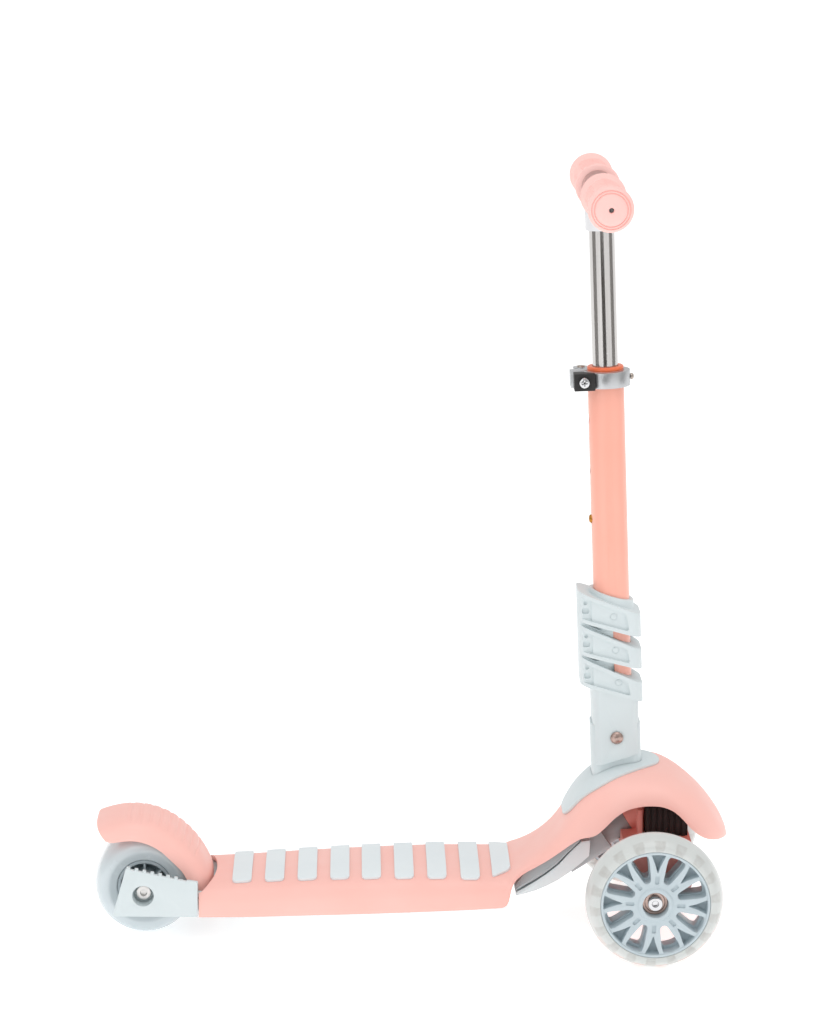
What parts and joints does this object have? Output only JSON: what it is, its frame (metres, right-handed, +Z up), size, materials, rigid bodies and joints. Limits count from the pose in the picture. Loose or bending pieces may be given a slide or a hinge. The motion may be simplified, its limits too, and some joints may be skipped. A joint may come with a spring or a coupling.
{
  "type": "kick scooter",
  "caption": "Child's lean-to-steer kick scooter: wide deck with cross strips, twin front wheels on a leaning truck, one rear wheel under a brake fender, and a height-adjustable T handlebar.",
  "frame": {"origin": "on the floor below the middle of the scooter's bounding box", "axes": "+X forward, +Y to the rider's left, +Z up"},
  "size_m": [0.5656, 0.266, 0.683],
  "materials": {
    "pink_plastic": "satin moulded plastic",
    "salmon_paint": "smooth coloured paint",
    "grey_plastic": "satin moulded plastic",
    "hub_plastic": "satin moulded plastic",
    "blue_grey_tyre": "glossy polyurethane",
    "milky_tyre": "milky translucent polyurethane",
    "light_core": "translucent inner ring",
    "steel": "plated steel",
    "chrome": "polished plating",
    "aluminium": "tumbled aluminium",
    "black_plastic": "matt",
    "black_rubber": "ribbed rubber",
    "brass": "plain",
    "orange_shim": "translucent nylon",
    "grip_pink": "soft matt rubber"
  },
  "bodies": {
    "scooter": {"deck_shell": "pink_plastic", "grip_strip_1": "grey_plastic", "grip_strip_2": "grey_plastic", "grip_strip_3": "grey_plastic", "grip_strip_4": "grey_plastic", "grip_strip_5": "grey_plastic", "grip_strip_6": "grey_plastic", "grip_strip_7": "grey_plastic", "grip_strip_8": "grey_plastic", "grip_strip_9": "grey_plastic", "deck_bottom_cover": "grey_plastic", "saddle_cover": "grey_plastic", "column_post": "grey_plastic", "column_sleeve": "grey_plastic", "outer_tube": "salmon_paint", "column_bolt": "steel", "tube_shim": "orange_shim", "rear_bracket": "grey_plastic", "rear_axle_bolt": "steel", "rear_axle_nut": "steel", "brake_pin": "steel", "brake_spring": "steel", "pivot_housing": "grey_plastic", "pivot_cover": "grey_plastic", "kingpin": "steel", "kingpin_nut": "steel", "clamp_collar": "aluminium", "collar_screw": "steel", "clamp_block": "black_plastic", "clamp_bolt": "steel", "clamp_nut": "steel", "lever_barrel": "steel"},
    "truck": {"truck_beam": "salmon_paint", "steering_rubber_left": "black_rubber", "steering_rubber_right": "black_rubber", "front_left_axle_bolt": "steel", "front_right_axle_bolt": "steel"},
    "front_left_wheel": {"front_left_tyre": "milky_tyre", "front_left_light_core": "light_core", "front_left_hub": "hub_plastic", "front_left_bearing_inner": "steel", "front_left_bearing_outer": "steel"},
    "front_right_wheel": {"front_right_tyre": "milky_tyre", "front_right_light_core": "light_core", "front_right_hub": "hub_plastic", "front_right_bearing_inner": "steel", "front_right_bearing_outer": "steel"},
    "rear_wheel": {"rear_tyre": "blue_grey_tyre", "rear_core": "hub_plastic", "rear_bearing_left": "steel", "rear_bearing_right": "steel"},
    "brake": {"brake_fender": "pink_plastic"},
    "lever": {"clamp_lever": "aluminium"},
    "handle": {"inner_tube": "chrome", "tee_joint": "chrome", "handlebar_tube": "chrome", "grip_left": "grip_pink", "grip_right": "grip_pink", "button_spring": "steel"},
    "button": {"height_button": "brass"}
  },
  "joints": [
    {"name": "handlebar_height", "type": "slide", "parent": "scooter", "child": "handle", "axis": [-0.038, 0, 0.9993], "range_m": [0, 0.09], "deforming": ["height_button"]},
    {"name": "height_button_press", "type": "slide", "parent": "handle", "child": "button", "axis": [0.9993, 0, 0.038], "range_m": [0, 0.0043], "stiffness_N_per_m": 1500, "springref_m": -0.002, "deforming": ["button_spring"]},
    {"name": "lean_steer", "type": "hinge", "parent": "scooter", "child": "truck", "pos_m": [0.20975, 0, 0.106], "axis": [0.8387, 0, 0.5446], "range_deg": [-12, 12], "stiffness_Nm_per_rad": 6},
    {"name": "front_left_wheel_spin", "type": "hinge", "parent": "truck", "child": "front_left_wheel", "pos_m": [0.20975, 0.115, 0.06], "axis": [0, 1, 0], "continuous": true},
    {"name": "front_right_wheel_spin", "type": "hinge", "parent": "truck", "child": "front_right_wheel", "pos_m": [0.20975, -0.115, 0.06], "axis": [0, 1, 0], "continuous": true},
    {"name": "rear_wheel_spin", "type": "hinge", "parent": "scooter", "child": "rear_wheel", "pos_m": [-0.23725, 0, 0.0455], "axis": [0, 1, 0], "continuous": true},
    {"name": "brake_press", "type": "hinge", "parent": "scooter", "child": "brake", "pos_m": [-0.18675, 0, 0.04], "axis": [0, -1, 0], "range_deg": [0, 7], "stiffness_Nm_per_rad": 1.5, "springref_deg": -11.46, "deforming": ["brake_spring"]},
    {"name": "clamp_lever_turn", "type": "hinge", "parent": "scooter", "child": "lever", "pos_m": [0.15046, 0.0215, 0.49902], "axis": [-0.038, 0, 0.9993], "range_deg": [0, 120]}
  ]
}
